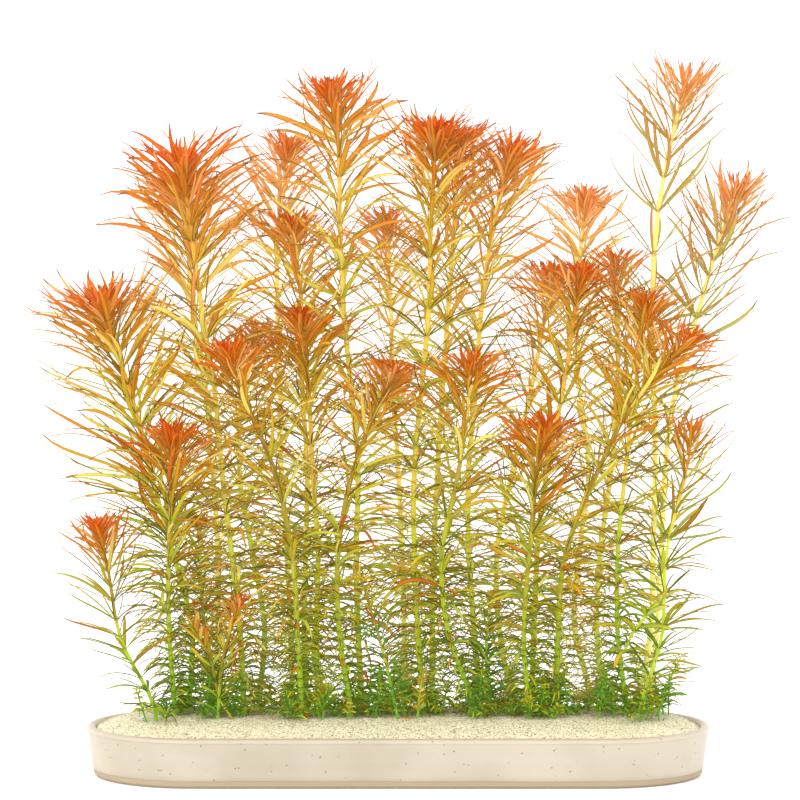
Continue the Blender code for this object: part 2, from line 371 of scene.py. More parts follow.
def stem_material():
    g = new_material("watery stem")
    place = g.node("ShaderNodeTexCoord", output="Object")
    streak = clouds(g, g.maths("MULTIPLY", place, STREAKS), 1.0, 3.0)
    whorl_age = attribute(g, "stem_age")
    age = whorl_age + (clouds(g, place, 45.0, 2.0) - 0.5) * 0.16 + (streak - 0.5) * 0.08
    pale = attribute(g, "pale")
    hue = paint(
        g, g.node("ShaderNodeValToRGB", {"stops": STEM_STOPS}, {"Fac": age}),
        # painted light pales the stems of shoots at the back, and painted shade deepens the upper stems of
        # shoots in front
        (g.step(pale, 0.0, 1.0) * 0.70, "FAF2B0"),
        (g.step(pale, 0.0, -1.0) * g.step(whorl_age, 0.88, 0.55) * 0.72, "A08214"),
        (g.step(streak, 0.56, 0.70) * 0.30, "F7EFC0"),
        (g.step(streak, 0.46, 0.36) * 0.22, "A09A2A"),
        (attribute(g, "ring") * 0.30, "A08C34"),
    )
    surface = {
        "Base Color": hue, "Roughness": 0.30 + streak * 0.2, "Specular IOR Level": 0.18,
        "Normal": g.node("ShaderNodeBump", inputs={"Strength": 0.12, "Distance": 0.0003, "Height": streak}),
        # a painted glow of the stem's own hue, stronger on the low stems, lifts them out of the shade of
        # the leaves
        "Emission Color": hue * (0.78 + 0.22 * g.step(whorl_age, 0.50, 0.75)),
    }
    return finish_watery(g, surface, STEM_THROUGH)


STEM = stem_material()
print("stem finish with", len(STEM.node_tree.nodes), "nodes")

# %% [markdown]
# ## Where the stems run
#
# The solid model has each stem as a plain tube with a ring of corners every 45 mm. The middle of each
# ring is a point of the stem's line. Sorting the corners by height and cutting the list wherever the
# height jumps gives the rings back, and a cubic curve through their middles takes out the kinks.

# %% Read the stem lines
RING_GAP = 6 * MM
SAND_TOP = 34 * MM


def ring_middles(node):
    """The middle of each ring of corners of a tube that runs upwards, from foot to tip."""
    corners = np.array([v.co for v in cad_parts[node].data.vertices])
    corners = np.unique(corners.round(6), axis=0)
    corners = corners[corners[:, 2].argsort()]
    cuts = np.flatnonzero(np.diff(corners[:, 2]) > RING_GAP) + 1
    return np.array([ring.mean(0) for ring in np.split(corners, cuts)])


class Line:
    """A smooth upward line through a stem's ring middles."""

    def __init__(self, middles):
        self.heights = middles[:, 2]
        self.middles = middles
        self.slopes = np.gradient(middles[:, :2], self.heights, axis=0)
        self.top = self.heights[-1]

    def at(self, height):
        """The point of the line at this height."""
        k = int(np.clip(np.searchsorted(self.heights, height) - 1, 0, len(self.heights) - 2))
        span = self.heights[k + 1] - self.heights[k]
        t = (height - self.heights[k]) / span
        low, high = self.middles[k, :2], self.middles[k + 1, :2]
        flat = (
            low * (2 * t**3 - 3 * t**2 + 1) + self.slopes[k] * span * (t**3 - 2 * t**2 + t)
            + high * (3 * t**2 - 2 * t**3) + self.slopes[k + 1] * span * (t**3 - t**2)
        )
        return Vector((*flat, height))

    def direction(self, height):
        """The way that the line runs at this height."""
        return (self.at(height + MM) - self.at(height - MM)).normalized()


LINES = {n: Line(ring_middles(f"stem_{n:02d}")) for n in range(1, 28)}
tallest = max(line.top for line in LINES.values())
print("the tallest stem ends", round((tallest - SAND_TOP) / MM), "mm above the sand")

# %% [markdown]
# ## The habit of each shoot
#
# No two shoots are alike: some have broad peach leaves, some fine red ones, and three at the right and one
# at the left are loosely set. Those differences are few, so each shoot gets a short record, and a number
# that a record leaves out is the common one. Everything else comes from rules: how far a whorl is from
# the tip, and how high it is above the sand.

# %% Habits
class Habit(NamedTuple):
    """How one shoot differs. Sizes are in millimetres, angles in degrees, and the rest are shares."""

    width: float = 2.4  # of a grown leaf
    reach: float = 45.0  # length of a grown leaf
    spacing: float = 17.0  # from whorl to whorl, half way up
    blush: float = 0.6  # 0 for a peach crown, 1 for a red one
    leaves: int = 12  # in a whorl
    green: float = 0.0  # added to the age of the leaves
    stem_green: float = 0.0  # added to the age of the stem
    droop: float = 0.0  # how much lower the leaf tips hang
    upright: float = 0.0  # how much steeper the crown's leaves stand
    foot: float = 1.0  # how much the low leaves are short, thin and packed
    blunt: float = 3.0  # from the first whorl to the tip of the stem
    stout: float = 1.0  # thickness of the stem
    curl: float = 0.0  # hook of the leaf tips, upwards or down
    pale: float = 0.0  # added to the painted light that its depth gives
    dim: float = 0.0  # how much painted shade darkens its grown leaves


HABITS = {
    1: Habit(
        reach=40, spacing=13, leaves=7, green=-0.05, droop=-14, upright=8, foot=0.6, stout=0.75, dim=0.3,
    ),
    2: Habit(spacing=10.5, blush=0.9, leaves=13, stout=0.9),
    3: Habit(width=2.6, reach=62, spacing=8.5, blush=0.3, leaves=15),
    4: Habit(width=2.8, reach=48, spacing=16, blush=0.3, green=-0.03, upright=6),
    5: Habit(
        width=3.0, reach=58, spacing=13, blush=0.35, leaves=14, green=-0.11, upright=6, blunt=10,
        curl=-0.07,
    ),
    6: Habit(width=2.1, reach=39, green=0.08, stem_green=0.12),
    7: Habit(blush=0.4),
    8: Habit(width=2.5, spacing=14, blush=0.8),
    9: Habit(reach=48, blush=0.5),
    10: Habit(reach=43),
    11: Habit(reach=39, blush=0.5),
    12: Habit(width=3.1, reach=50, spacing=15, blush=0.35),
    13: Habit(width=2.1, reach=43, blush=0.3),
    14: Habit(width=2.5, reach=50, spacing=14, blush=0.75, leaves=14),
    15: Habit(reach=51, spacing=13, blush=0.7, leaves=13),
    16: Habit(blush=0.7, green=0.05, stem_green=0.06),
    17: Habit(width=2.5, reach=51, blush=0.5),
    18: Habit(width=2.1, reach=43, blush=0.5),
    19: Habit(reach=41, spacing=12, blush=0.9, leaves=13, stout=0.9),
    20: Habit(width=2.5, spacing=18, blush=0.8),
    21: Habit(reach=46),
    22: Habit(width=2.2, reach=43, blush=0.3),
    23: Habit(width=2.0, reach=39, blush=0.5),
    24: Habit(reach=42, green=0.05, stem_green=0.08, stout=0.85),
    25: Habit(
        width=2.1, reach=39, spacing=18, leaves=6, green=0.06, droop=-22, foot=0.3, stout=0.75, dim=0.4,
    ),
    26: Habit(
        reach=48, spacing=20, leaves=8, green=0.02, droop=-26, upright=-12, foot=0.25, blunt=7, pale=0.5,
        dim=0.45,
    ),
    27: Habit(reach=46, spacing=18, leaves=9, green=0.02, droop=-22, foot=0.25, pale=0.5, dim=0.45),
}
widths = [habit.width for habit in HABITS.values()]
print(len(HABITS), "habits, with leaves from", min(widths), "to", max(widths), "mm wide")

# %% [markdown]
# ## Whorls
#
# A whorl is one ring of leaves. Near the tip the whorls are packed and their leaves short and upright.
# Lower down they stand apart, the leaves are long and arch over, and near the sand they are packed
# again, with short thin drooping leaves. `np.interp` reads such rules from a few pairs of numbers, which
# is plainer than fitting a formula. A whorl faces half way between its stem's direction and straight up,
# because a leaning shoot lifts its leaves to the light, and it wobbles a little.

# %% Whorl rules
UP = Vector((0.0, 0.0, 1.0))
LOW_RISE = 28
LOW_END = -52
RISE_SPREAD = 5
END_SPREAD = 9
BUD = 6
chance = random.Random(31)


class Whorl(NamedTuple):
    """One ring of leaves. The names are those of the attributes that the trees read."""

    place: Vector
    axis: Vector
    leaves: int
    length: float
    width: float
    rise: float
    end: float
    turn: float
    age: float
    stem_age: float
    loose: float
    slim_share: float
    blush: float = 0.5
    # painted light by depth above 0, painted shade on the stem below 0
    pale: float = 0.0
    rust: float = 0.0
    curl: float = 0.0
    # painted shade on grown leaves
    dim: float = 0.0
    thickness: float = 0.8 * MM


NUMBERS = [name for name in Whorl._fields if name not in ("place", "axis", "leaves")]


def interp(value, *pairs):
    """Reads a rule that is given as (value, result) pairs."""
    return float(np.interp(value, [p[0] for p in pairs], [p[1] for p in pairs]))


def whorl_heights(top, habit):
    """Heights of the whorls above the sand, from the tip down, in millimetres."""
    heights = []
    height = top - habit.blunt
    while height > 2.0:
        heights.append(height)
        crown = 1.3 + 0.24 * (top - height)
        low = interp(height, (0, 3.6), (30, 4.4), (60, 6.0), (90, 9.0), (125, habit.spacing))
        middle = habit.spacing - habit.foot * (habit.spacing - low)
        height -= min(crown, middle) * chance.uniform(0.75, 1.25)
    return heights


def whorl(line, height, top, habit, turn, pale):
    """The whorl at this height above the sand. The rules here are in millimetres and degrees."""
    down = top - height

    def by_tip(*pairs):
        return interp(down, *pairs)

    def by_sand(*pairs):
        return interp(height, *pairs)

    short = 1 - habit.foot * (1 - by_sand((0, 0.36), (15, 0.46), (40, 0.62), (70, 0.84), (100, 1.0)))
    length = by_tip(
        (0, 0.14), (3, 0.28), (6, 0.42), (10, 0.58), (15, 0.75), (22, 0.90), (32, 1.0), (80, 1.0),
        (150, 0.94), (220, 0.86),
    ) * short * habit.reach
    thin = 1 - habit.foot * (1 - by_sand((0, 0.56), (40, 0.64), (80, 0.92)))
    width = by_tip(
        (0, 0.62), (5, 0.78), (12, 0.90), (28, 0.98), (70, 0.98), (150, 0.94), (260, 0.86),
    ) * thin * habit.width

    low = habit.foot * by_sand((40, 1.0), (115, 0.0)) * by_tip((30, 0), (90, 1))
    rise = by_tip((0, 70), (3, 54), (8, 45), (20, 42), (45, 44), (90, 41), (160, 34), (260, 26))
    end = by_tip((0, 64), (3, 46), (8, 34), (20, 32), (45, 30), (90, 20), (160, 2), (260, -26))
    rise += low * (LOW_RISE - rise)
    end += low * (LOW_END - end)

    crown = by_tip((0, 0.0), (8, 0.13), (25, 0.32), (60, 0.49), (110, 0.60), (180, 0.66), (260, 0.70))
    foot = by_sand((0, 1.0), (14, 0.92), (35, 0.82), (70, 0.73), (120, 0.62), (180, 0.0))
    ripe = interp(top, (270, 0.06), (310, -0.02)) * by_tip((2, 0), (10, 1), (60, 0.5))
    stem_crown = by_tip((0, 0.0), (10, 0.12), (30, 0.25), (70, 0.40), (140, 0.52), (260, 0.62))
    stem_foot = by_sand((0, 1.0), (6, 0.93), (30, 0.84), (70, 0.75), (110, 0.66), (170, 0.0))

    crowding = 1 + habit.foot * by_sand((20, -0.08), (60, 0.10), (140, 0.02), (200, 0.0))
    share = by_tip((30, 1.12), (80, 0.92)) * crowding
    leaves = round(habit.leaves * share) + chance.choice((-1, 0, 0)) - (2 if down < BUD else 0)
    wobble = by_tip((10, 0.0), (60, 0.26))
    sideways = Vector((chance.uniform(-wobble, wobble), chance.uniform(-wobble, wobble), 0.0))
    rise += chance.uniform(-RISE_SPREAD, RISE_SPREAD)
    end += chance.uniform(-END_SPREAD, END_SPREAD)
    level = SAND_TOP + height * MM
    return Whorl(
        place=line.at(level),
        axis=(line.direction(level) + UP + sideways).normalized(),
        leaves=leaves,
        length=length * MM,
        width=width * MM,
        rise=math.radians(rise + habit.upright * by_tip((12, 1), (30, 0))),
        end=math.radians(end - habit.droop),
        turn=turn,
        age=max(crown + ripe, foot * by_tip((5, 0), (40, 1))) + habit.green,
        stem_age=max(stem_crown, stem_foot * by_tip((5, 0), (60, 1))) + habit.stem_green,
        loose=by_tip((0, 0.35), (25, 1.0)) - habit.foot * by_sand((30, 0.45), (90, 0.10), (140, 0.0)),
        slim_share=by_tip((8, 0.08), (20, 0.34), (60, 0.50), (140, 0.56)),
        blush=habit.blush,
        pale=pale,
        rust=by_sand((20, 0.02), (45, 0.08), (120, 0.08), (180, 0.0)),
        curl=habit.curl,
        # painted shade on the grown leaves of a sparse shoot
        dim=habit.dim * by_tip((10, 0), (35, 1)),
        thickness=by_tip((0, 0.7), (25, 1.15), (90, 1.4), (340, 1.65)) * habit.stout * MM,
    )


print("a whorl has", len(NUMBERS), "numbers")

# %% [markdown]
# ## The whorls of each shoot
#
# Each whorl is turned against the one above it by the golden angle, so that no two leaves stand over each
# other. A shoot at the back of the stand gets painted light and is paler than one in front, whose stem gets
# painted shade.

# %% Whorls of each shoot
GOLDEN = math.radians(137.5)


def whorls_of(line, habit):
    """All the whorls of one shoot, from the tip down."""
    top = (line.top - SAND_TOP) / MM
    # painted light by depth: -1 for a tip in front, up to 1 at the back, with the habit's share added
    pale = interp(line.at(line.top).y / MM, (-26, -1), (-8, 0), (0, 0.1), (30, 1)) + habit.pale
    heights = whorl_heights(top, habit)
    return [whorl(line, h, top, habit, GOLDEN * k, pale) for k, h in enumerate(heights)]


WHORLS = {n: whorls_of(LINES[n], HABITS[n]) for n in LINES}
print(sum(len(w) for w in WHORLS.values()), "whorls on", len(WHORLS), "shoots")

# %% [markdown]
# ## Trees that grow things
#
# Thousands of leaves share one shape, so they are grown by Geometry Nodes. Short functions start a tree
# with named inputs, read, write and remove attributes, and close it with real faces and a material.

# %% Tree helpers
def new_tree(name, **inputs):
    """The graph of a new geometry tree with inputs of these types and names, whose wires are in given."""
    tree = bpy.data.node_groups.new(name, "GeometryNodeTree")
    for kind, labels in {"Geometry": ("Geometry",), "Material": ("Material",), **inputs}.items():
        for label in labels:
            tree.interface.new_socket(label, in_out="INPUT", socket_type="NodeSocket" + kind)
    tree.interface.new_socket("Geometry", in_out="OUTPUT", socket_type="NodeSocketGeometry")
    graph = Graph(tree)
    entry = graph.node("NodeGroupInput")
    graph.given = {s.name: Wire(graph, s) for s in entry.socket.node.outputs if s.name}
    return graph


def named(graph, name, kind="FLOAT"):
    return graph.node("GeometryNodeInputNamedAttribute", {"data_type": kind}, {"Name": name})


def arrow(graph, name):
    return named(graph, name, "FLOAT_VECTOR")


def store(graph, geometry, kind="FLOAT", domain="POINT", **fields):
    """Writes fields on the geometry as named attributes, one after another."""
    for name, value in fields.items():
        settings = {"data_type": kind, "domain": domain}
        inputs = {"Geometry": geometry, "Name": name, "Value": value}
        geometry = graph.node("GeometryNodeStoreNamedAttribute", settings, inputs)
    return geometry


def forget(graph, geometry, *names):
    """Removes named attributes. A star stands for any ending."""
    for name in names:
        inputs = {0: geometry, "Name": name}
        geometry = graph.node("GeometryNodeRemoveAttribute", {"pattern_mode": "WILDCARD"}, inputs)
    return geometry


def spent(*kept):
    """The whorl attributes that nothing reads once the tree has run, which are all but the kept ones."""
    return ["axis", "leaves", *[name for name in NUMBERS if name not in kept]]


def finish_tree(graph, geometry):
    """Realizes the instances, gives them their material and closes the tree."""
    real = graph.node("GeometryNodeRealizeInstances", inputs={"Geometry": geometry})
    inputs = {"Geometry": real, "Material": graph.given["Material"]}
    dressed = graph.node("GeometryNodeSetMaterial", inputs=inputs)
    graph.node("NodeGroupOutput", inputs={"Geometry": dressed})
    return graph.tree


print("tree helpers are ready")

# %% [markdown]
# ## One point for each leaf
#
# Every whorl is one vertex with its sizes as attributes. The tree doubles that vertex once for each leaf
# and gives every copy numbers of its own, which vary by chance, more where the whorl is loose. Each leaf
# also gets its own cell of the colour map.

# %% Leaf points
def leaf_points(g):
    """The whorl vertices, doubled once for each leaf and given the leaf's numbers."""
    pick = g.pick
    count = named(g, "leaves", "INT")
    loose = named(g, "loose")
    columns = g.given["Map columns"]
    points = g.node("GeometryNodeMeshToPoints", inputs={"Mesh": g.given["Geometry"]})
    copies = {"Geometry": points, "Amount": count}
    points = g.node("GeometryNodeDuplicateElements", {"domain": "POINT"}, copies)
    turn = named(g, "turn") + points.other("Duplicate Index") * (math.tau / count) + pick(-0.30, 0.30, 1)
    axis = arrow(g, "axis")
    right = g.maths("NORMALIZE", g.cross((0.0, 1.0, 0.0), axis))
    outward = g.swing(right, g.cross(axis, right), turn)
    uneven = g.given["Unevenness"] * loose
    start = g.swing(outward, axis, named(g, "rise") + pick(-1.0, 1.0, 2) * uneven)
    finish = g.swing(outward, axis, named(g, "end") + pick(-1.0, 1.0, 3) * uneven * 1.8)
    rusty = g.maths("LESS_THAN", pick(0.0, 1.0, 10), named(g, "rust"))
    slim = g.maths("LESS_THAN", pick(0.0, 1.0, 14), named(g, "slim_share"))
    length = named(g, "length") * pick(0.72, 1.10, 4)
    broad = 0.72 + pick(0.0, 1.0, 5) * 0.50
    width = named(g, "width") * broad * (1.0 + rusty * 0.30) * (1.0 - slim * 0.55)
    twist = pick(-1.0, 1.0, 6) * pick(0.0, 1.8, 12) * loose
    index = g.node("GeometryNodeInputIndex")
    points = store(
        g, points, "FLOAT_VECTOR",
        leaf_foot=g.node("GeometryNodeInputPosition") + outward * (named(g, "thickness") * 0.6),
        leaf_start=start,
        leaf_bend=finish - start,
        leaf_side=g.cross(axis, outward) + axis * pick(-0.15, 0.15, 7),
        leaf_size=g.vector(length, width, twist),
        leaf_cell=g.vector(g.maths("FLOORED_MODULO", index, columns), g.maths("FLOOR", index / columns)),
    )
    return store(
        g, points,
        leaf_sway=pick(-0.28, 0.28, 8),
        leaf_tilt=pick(-1.0, 1.0, 15) * g.given["Tilt"] * loose,
        leaf_hook=pick(-1.0, 1.0, 13) * g.given["Hook"] * loose + named(g, "curl"),
        tone=pick(-1.0, 1.0, 9),
        slim=slim,
        rust=rusty * pick(0.4, 0.95, 11),
    )


print("leaf points are ready")

# %% [markdown]
# ## The blank of a leaf
#
# All leaves start as one blank: a closed three-sided tube, flat on top and keeled below. It has 29 faces
# where the leaf is long and 17 where it is short, few enough for thousands of leaves, and it remembers
# how far along and across the leaf each of its corners is.

# %% Leaf blank
LONG_STEPS = 9
SHORT_STEPS = 5
LONG_LEAF = 22 * MM
MARGIN = 0.9


def leaf_blank(g, steps):
    """A closed three-sided tube with sharp margins: 0 is its flat top and -1 its keel."""
    sizes = {"Vertices": 3, "Side Segments": steps, "Radius": 1.0, "Depth": 1.0}
    blank = g.node("GeometryNodeMeshCylinder", {"fill_type": "NGON"}, sizes)
    sheet = blank.other("UV Map")
    x, y, z = g.parts(g.node("GeometryNodeInputPosition"))
    spot = g.vector(y / math.sin(math.tau / 3), (x + 0.5) / -1.5, z)
    blank = store(g, blank, "FLOAT_VECTOR", blank=spot)
    blank = store(g, blank, "FLOAT2", "CORNER", OFBake=sheet)
    margin = g.maths("GREATER_THAN", g.maths("ABSOLUTE", g.parts(spot)[0]), MARGIN)
    smooth = {"Geometry": blank, "Selection": margin, "Shade Smooth": False}
    return g.node("GeometryNodeSetShadeSmooth", {"domain": "EDGE"}, smooth)


def set_blanks(g, points):
    """Sets a real blank on every leaf's point."""
    length = g.parts(arrow(g, "leaf_size"))[0]
    long = g.maths("GREATER_THAN", length, LONG_LEAF)
    leaves = []
    for chosen, steps in ((long, LONG_STEPS), (1.0 - long, SHORT_STEPS)):
        inputs = {"Points": points, "Selection": chosen, "Instance": leaf_blank(g, steps)}
        leaves.append(g.node("GeometryNodeInstanceOnPoints", inputs=inputs))
    leaves = g.node("GeometryNodeJoinGeometry", inputs={"Geometry": leaves})
    return g.node("GeometryNodeRealizeInstances", inputs={"Geometry": leaves})


print("leaf blanks are ready")

# %% [markdown]
# ## Bending the blades
#
# Each blank is bent along a line that starts at one angle and ends at another, with a sway to the side and
# a hook at the tip. Across that line the blade has its outline's width and a shallow channel. It is
# tilted about the line, and twisted more and more towards the tip.

# %% Leaf tree
BLADE_OUTLINE = (
    (0.0, 0.52), (0.10, 0.70), (0.30, 0.94), (0.55, 1.0), (0.78, 0.82), (0.92, 0.46), (1.0, 0.14),
)
CHANNEL = 0.16
CELL_GAP = 0.02


def bend_blades(g, leaves):
    """Moves the corners of the blanks, so that each becomes a bent blade."""
    across, upward, middle = g.parts(arrow(g, "blank"))
    along = middle + 0.5
    length, width, twist = g.parts(arrow(g, "leaf_size"))
    side = g.maths("NORMALIZE", arrow(g, "leaf_side"))
    start = arrow(g, "leaf_start")
    bend = arrow(g, "leaf_bend")
    sway = named(g, "leaf_sway")
    upright = g.cross(start, side)
    outline = g.node("ShaderNodeFloatCurve", {"curve": BLADE_OUTLINE}, {"Value": along})
    half_width = width * outline * 0.5
    half_thick = g.given["Blade thickness"] * (0.4 + 0.6 * outline) * (0.4 + 0.25 * named(g, "age"))
    squared = along * along
    hooked = named(g, "leaf_hook") * squared * squared
    path = start * along + bend * (squared * 0.5) + side * (sway * squared) + upright * (hooked * squared)
    ahead = start + bend * along + side * (sway * along * 2.0) + upright * (hooked * along * 6.0)
    face = g.maths("NORMALIZE", g.cross(ahead, side))
    roll = named(g, "leaf_tilt") + twist * along
    flat = g.swing(side, face, roll)
    over = g.swing(face, side * -1.0, roll)
    lift = upward * half_thick + g.maths("ABSOLUTE", across) * half_width * CHANNEL * 2.0
    place = arrow(g, "leaf_foot") + path * length + flat * (across * half_width) + over * lift
    leaves = g.node("GeometryNodeSetPosition", inputs={"Geometry": leaves, "Position": place})
    return store(g, leaves, along=along, across=across)


def leaf_tree():
    g = new_tree(
        "Whorled leaves", Float=("Blade thickness", "Hook", "Unevenness", "Tilt"),
        Int=("Map columns", "Map rows", "Seed"),
    )
    leaves = bend_blades(g, set_blanks(g, leaf_points(g)))
    cell = arrow(g, "OFBake") * (1 - 2 * CELL_GAP) + (CELL_GAP, CELL_GAP, 0.0) + arrow(g, "leaf_cell")
    shares = g.vector(g.given["Map columns"], g.given["Map rows"], 1.0)
    leaves = store(g, leaves, "FLOAT2", "CORNER", OFBake=cell / shares)
    leaves = forget(g, leaves, "leaf_*", "blank", *spent("age", "blush", "pale", "rust", "dim"))
    return finish_tree(g, leaves)


LEAF_TREE = leaf_tree()
print("leaf tree with", len(LEAF_TREE.nodes), "nodes")

# %% [markdown]
# ## From whorls to a mesh
#
# The tree is a modifier on a small object that holds only the whorl vertices. Its inputs are set by
# their identifiers. The evaluated result becomes a plain mesh, because what follows needs real faces
# and not a modifier.

# %% Run a tree
BLADE_THICKNESS = 0.62 * MM
HOOK = 0.16
UNEVENNESS = math.radians(14)
TILT = math.radians(50)


def link(name, mesh):
    piece = bpy.data.objects.new(name, mesh)
    bpy.context.scene.collection.objects.link(piece)
    return piece


def run_tree(name, start, tree, **inputs):
    """Puts the tree on a start mesh and returns an object with the plain resulting mesh."""
    carrier = link(name + "_start", start)
    modifier = carrier.modifiers.new("grow", "NODES")
    modifier.node_group = tree
    sockets = [item for item in tree.interface.items_tree if item.in_out == "INPUT"]
    identifiers = {item.name: item.identifier for item in sockets}
    for label, value in inputs.items():
        modifier[identifiers[label.replace("_", " ")]] = value
    graph = bpy.context.evaluated_depsgraph_get()
    mesh = bpy.data.meshes.new_from_object(carrier.evaluated_get(graph))
    bpy.data.objects.remove(carrier)
    bpy.data.meshes.remove(start)
    mesh.name = name
    return link(name, mesh)


def whorl_mesh(whorls):
    """One vertex for each whorl, with its sizes as attributes."""
    mesh = bpy.data.meshes.new("whorls")
    mesh.from_pydata([w.place for w in whorls], [], [])
    axis = mesh.attributes.new("axis", "FLOAT_VECTOR", "POINT")
    axis.data.foreach_set("vector", np.array([w.axis for w in whorls], np.float32).ravel())
    leaves = mesh.attributes.new("leaves", "INT", "POINT")
    leaves.data.foreach_set("value", [w.leaves for w in whorls])
    for name in NUMBERS:
        values = mesh.attributes.new(name, "FLOAT", "POINT")
        values.data.foreach_set("value", np.array([getattr(w, name) for w in whorls], np.float32))
    return mesh


def grow_leaves(name, whorls, seed):
    """The leaves on these whorls, as one object."""
    total = sum(w.leaves for w in whorls)
    columns = math.ceil(math.sqrt(total))
    return run_tree(
        name, whorl_mesh(whorls), LEAF_TREE, Blade_thickness=BLADE_THICKNESS, Hook=HOOK,
        Unevenness=UNEVENNESS, Tilt=TILT, Map_columns=columns, Map_rows=math.ceil(total / columns),
        Seed=seed * 100, Material=LEAF,
    )


leaf_pieces = {n: grow_leaves(f"shoot_{n:02d}_leaves", WHORLS[n], n) for n in WHORLS}
print(sum(len(p.data.polygons) for p in leaf_pieces.values()), "faces of leaves")

# %% [markdown]
# ## Stems
#
# A stem is a tube along its line, a little thicker at each whorl. The tree lays points along the line
# every millimetre or so, asks how near the next whorl is, and swells the tube there. The same distance
# is kept as an attribute, from which the finish draws the rings.

# %% Stem tree
STEM_STEP = 1.3 * MM
STEM_SIDES = 8
SWELL_LENGTH = 1.2 * MM
SWELL = 0.16


def stem_tree():
    g = new_tree("Jointed stem", Int=("Sides",), Float=("Step", "Swell", "Swell length"))
    given = g.given
    line = g.node("GeometryNodeMeshToCurve", inputs={"Mesh": given["Geometry"]})
    line = g.node("GeometryNodeResampleCurve", {"mode": "LENGTH"}, {"Curve": line, "Length": given["Step"]})
    joints = g.node("GeometryNodeMeshToPoints", inputs={"Mesh": given["Geometry"]})
    near = g.node("GeometryNodeProximity", {"target_element": "POINTS"}, {0: joints}, "Distance")
    ring = g.step(near, given["Swell length"], 0.0)
    line = store(g, line, ring=ring)
    radius = named(g, "thickness") * (1.0 + ring * given["Swell"])
    line = g.node("GeometryNodeSetCurveRadius", inputs={"Curve": line, "Radius": radius})
    circle = {"Resolution": given["Sides"], "Radius": 1.0}
    circle = g.node("GeometryNodeCurvePrimitiveCircle", inputs=circle)
    sweep = {"Curve": line, "Profile Curve": circle, "Scale": radius, "Fill Caps": True}
    tube = g.node("GeometryNodeCurveToMesh", inputs=sweep)
    tube = g.node("GeometryNodeSetShadeSmooth", inputs={"Geometry": tube})
    return finish_tree(g, forget(g, tube, *spent("pale", "stem_age")))


STEM_TREE = stem_tree()
STEM_FOOT = SAND_TOP - 12 * MM


def root_of(line, last):
    """The end of the stem under the sand, as one more whorl without leaves."""
    return last._replace(place=line.at(STEM_FOOT), axis=line.direction(STEM_FOOT))


def line_mesh(runs):
    """Whorl vertices joined into lines, one for each run of whorls."""
    mesh = whorl_mesh([w for run in runs for w in run])
    edges = []
    first = 0
    for run in runs:
        edges += [(first + k, first + k + 1) for k in range(len(run) - 1)]
        first += len(run)
    mesh.edges.add(len(edges))
    mesh.edges.foreach_set("vertices", np.array(edges, np.int32).ravel())
    return mesh


def grow_stem(name, runs):
    return run_tree(
        name, line_mesh(runs), STEM_TREE, Sides=STEM_SIDES, Step=STEM_STEP, Swell=SWELL,
        Swell_length=SWELL_LENGTH, Material=STEM,
    )


stem_pieces = {
    n: grow_stem(f"shoot_{n:02d}_stem", [[*WHORLS[n], root_of(LINES[n], WHORLS[n][-1])]]) for n in WHORLS
}
print(sum(len(p.data.polygons) for p in stem_pieces.values()), "faces of stems")

# %% [markdown]
# ## Young shoots
#
# Between the grown shoots stand four short young ones. In the solid model each is a single piece, stem and
# leaves together, so its line is given here as three points. Stem and leaves are grown by the same two
# trees and then joined.

# %% Young shoots
YOUNG_LINES = {
    1: ((-102, 4, 0), (-107, 5, 45), (-110, 6, 110)),
    2: ((-99, -24, 0), (-96, -27, 34), (-85, -28, 68)),
    3: ((51, -4, 0), (49, -5, 45), (53, -6, 70)),
    4: ((143, -8, 0), (150, -9, 20), (157, -10, 35)),
}
YOUNG_HABITS = {
    1: Habit(width=1.8, reach=22, spacing=9, leaves=7, green=0.35, stem_green=0.55, foot=0.2, stout=0.7),
    2: Habit(
        width=2.9, reach=29, spacing=12, leaves=5, green=0.02, droop=-14, upright=12, foot=0.7, stout=0.7,
    ),
    3: Habit(
        width=1.9, reach=16, spacing=5, leaves=8, green=0.52, stem_green=0.5, foot=0.2, droop=25,
        stout=0.7,
    ),
    4: Habit(
        width=1.9, reach=15, spacing=8, leaves=4, green=0.55, stem_green=0.8, foot=0, droop=45,
        stout=0.55,
    ),
}


def join(name, pieces):
    """One object from several, named anew."""
    for piece in bpy.context.selected_objects:
        piece.select_set(False)
    for piece in pieces:
        piece.select_set(True)
    bpy.context.view_layer.objects.active = pieces[0]
    bpy.ops.object.join()
    pieces[0].name = name
    pieces[0].data.name = name
    return pieces[0]


def young_line(points):
    above_sand = np.array(points, float) + (0.0, 0.0, SAND_TOP / MM)
    return Line(above_sand * MM)


def small_shoot(name, points, habit, seed):
    """Stem and leaves of a short shoot, as one object."""
    line = young_line(points)
    whorls = whorls_of(line, habit)
    stem = grow_stem("small_stem", [[*whorls, root_of(line, whorls[-1])]])
    leaves = grow_leaves("small_leaves", whorls, seed)
    return join(name, [leaves, stem])


young_pieces = {
    n: small_shoot(f"young_shoot_{n}_plant", YOUNG_LINES[n], YOUNG_HABITS[n], 30 + n) for n in YOUNG_LINES
}
print([len(p.data.polygons) for p in young_pieces.values()], "faces of young shoots")

# %% [markdown]
# ## Tufts at the foot
#
# The feet of the stems are hidden in short dark leaves: side buds that have just broken, and old leaves
# that lie on the sand. They are whorls like all the others, with no stem of their own. Among them stand
# sprigs, which are green shoots of a few centimetres. Both are strewn by chance.

# %% Tufts and sprigs
TUFTS_PER_SHOOT = 2
LOOSE_TUFTS = 60
SPRIGS_PER_SHOOT = 1
LOOSE_SPRIGS = 60
BED_X = (-136, 150)
BED_Y = (-26, 34)
LEAN = 0.3


def upward():
    """A way that is nearly straight up."""
    return Vector((chance.uniform(-LEAN, LEAN), chance.uniform(-LEAN, LEAN), 1.0))


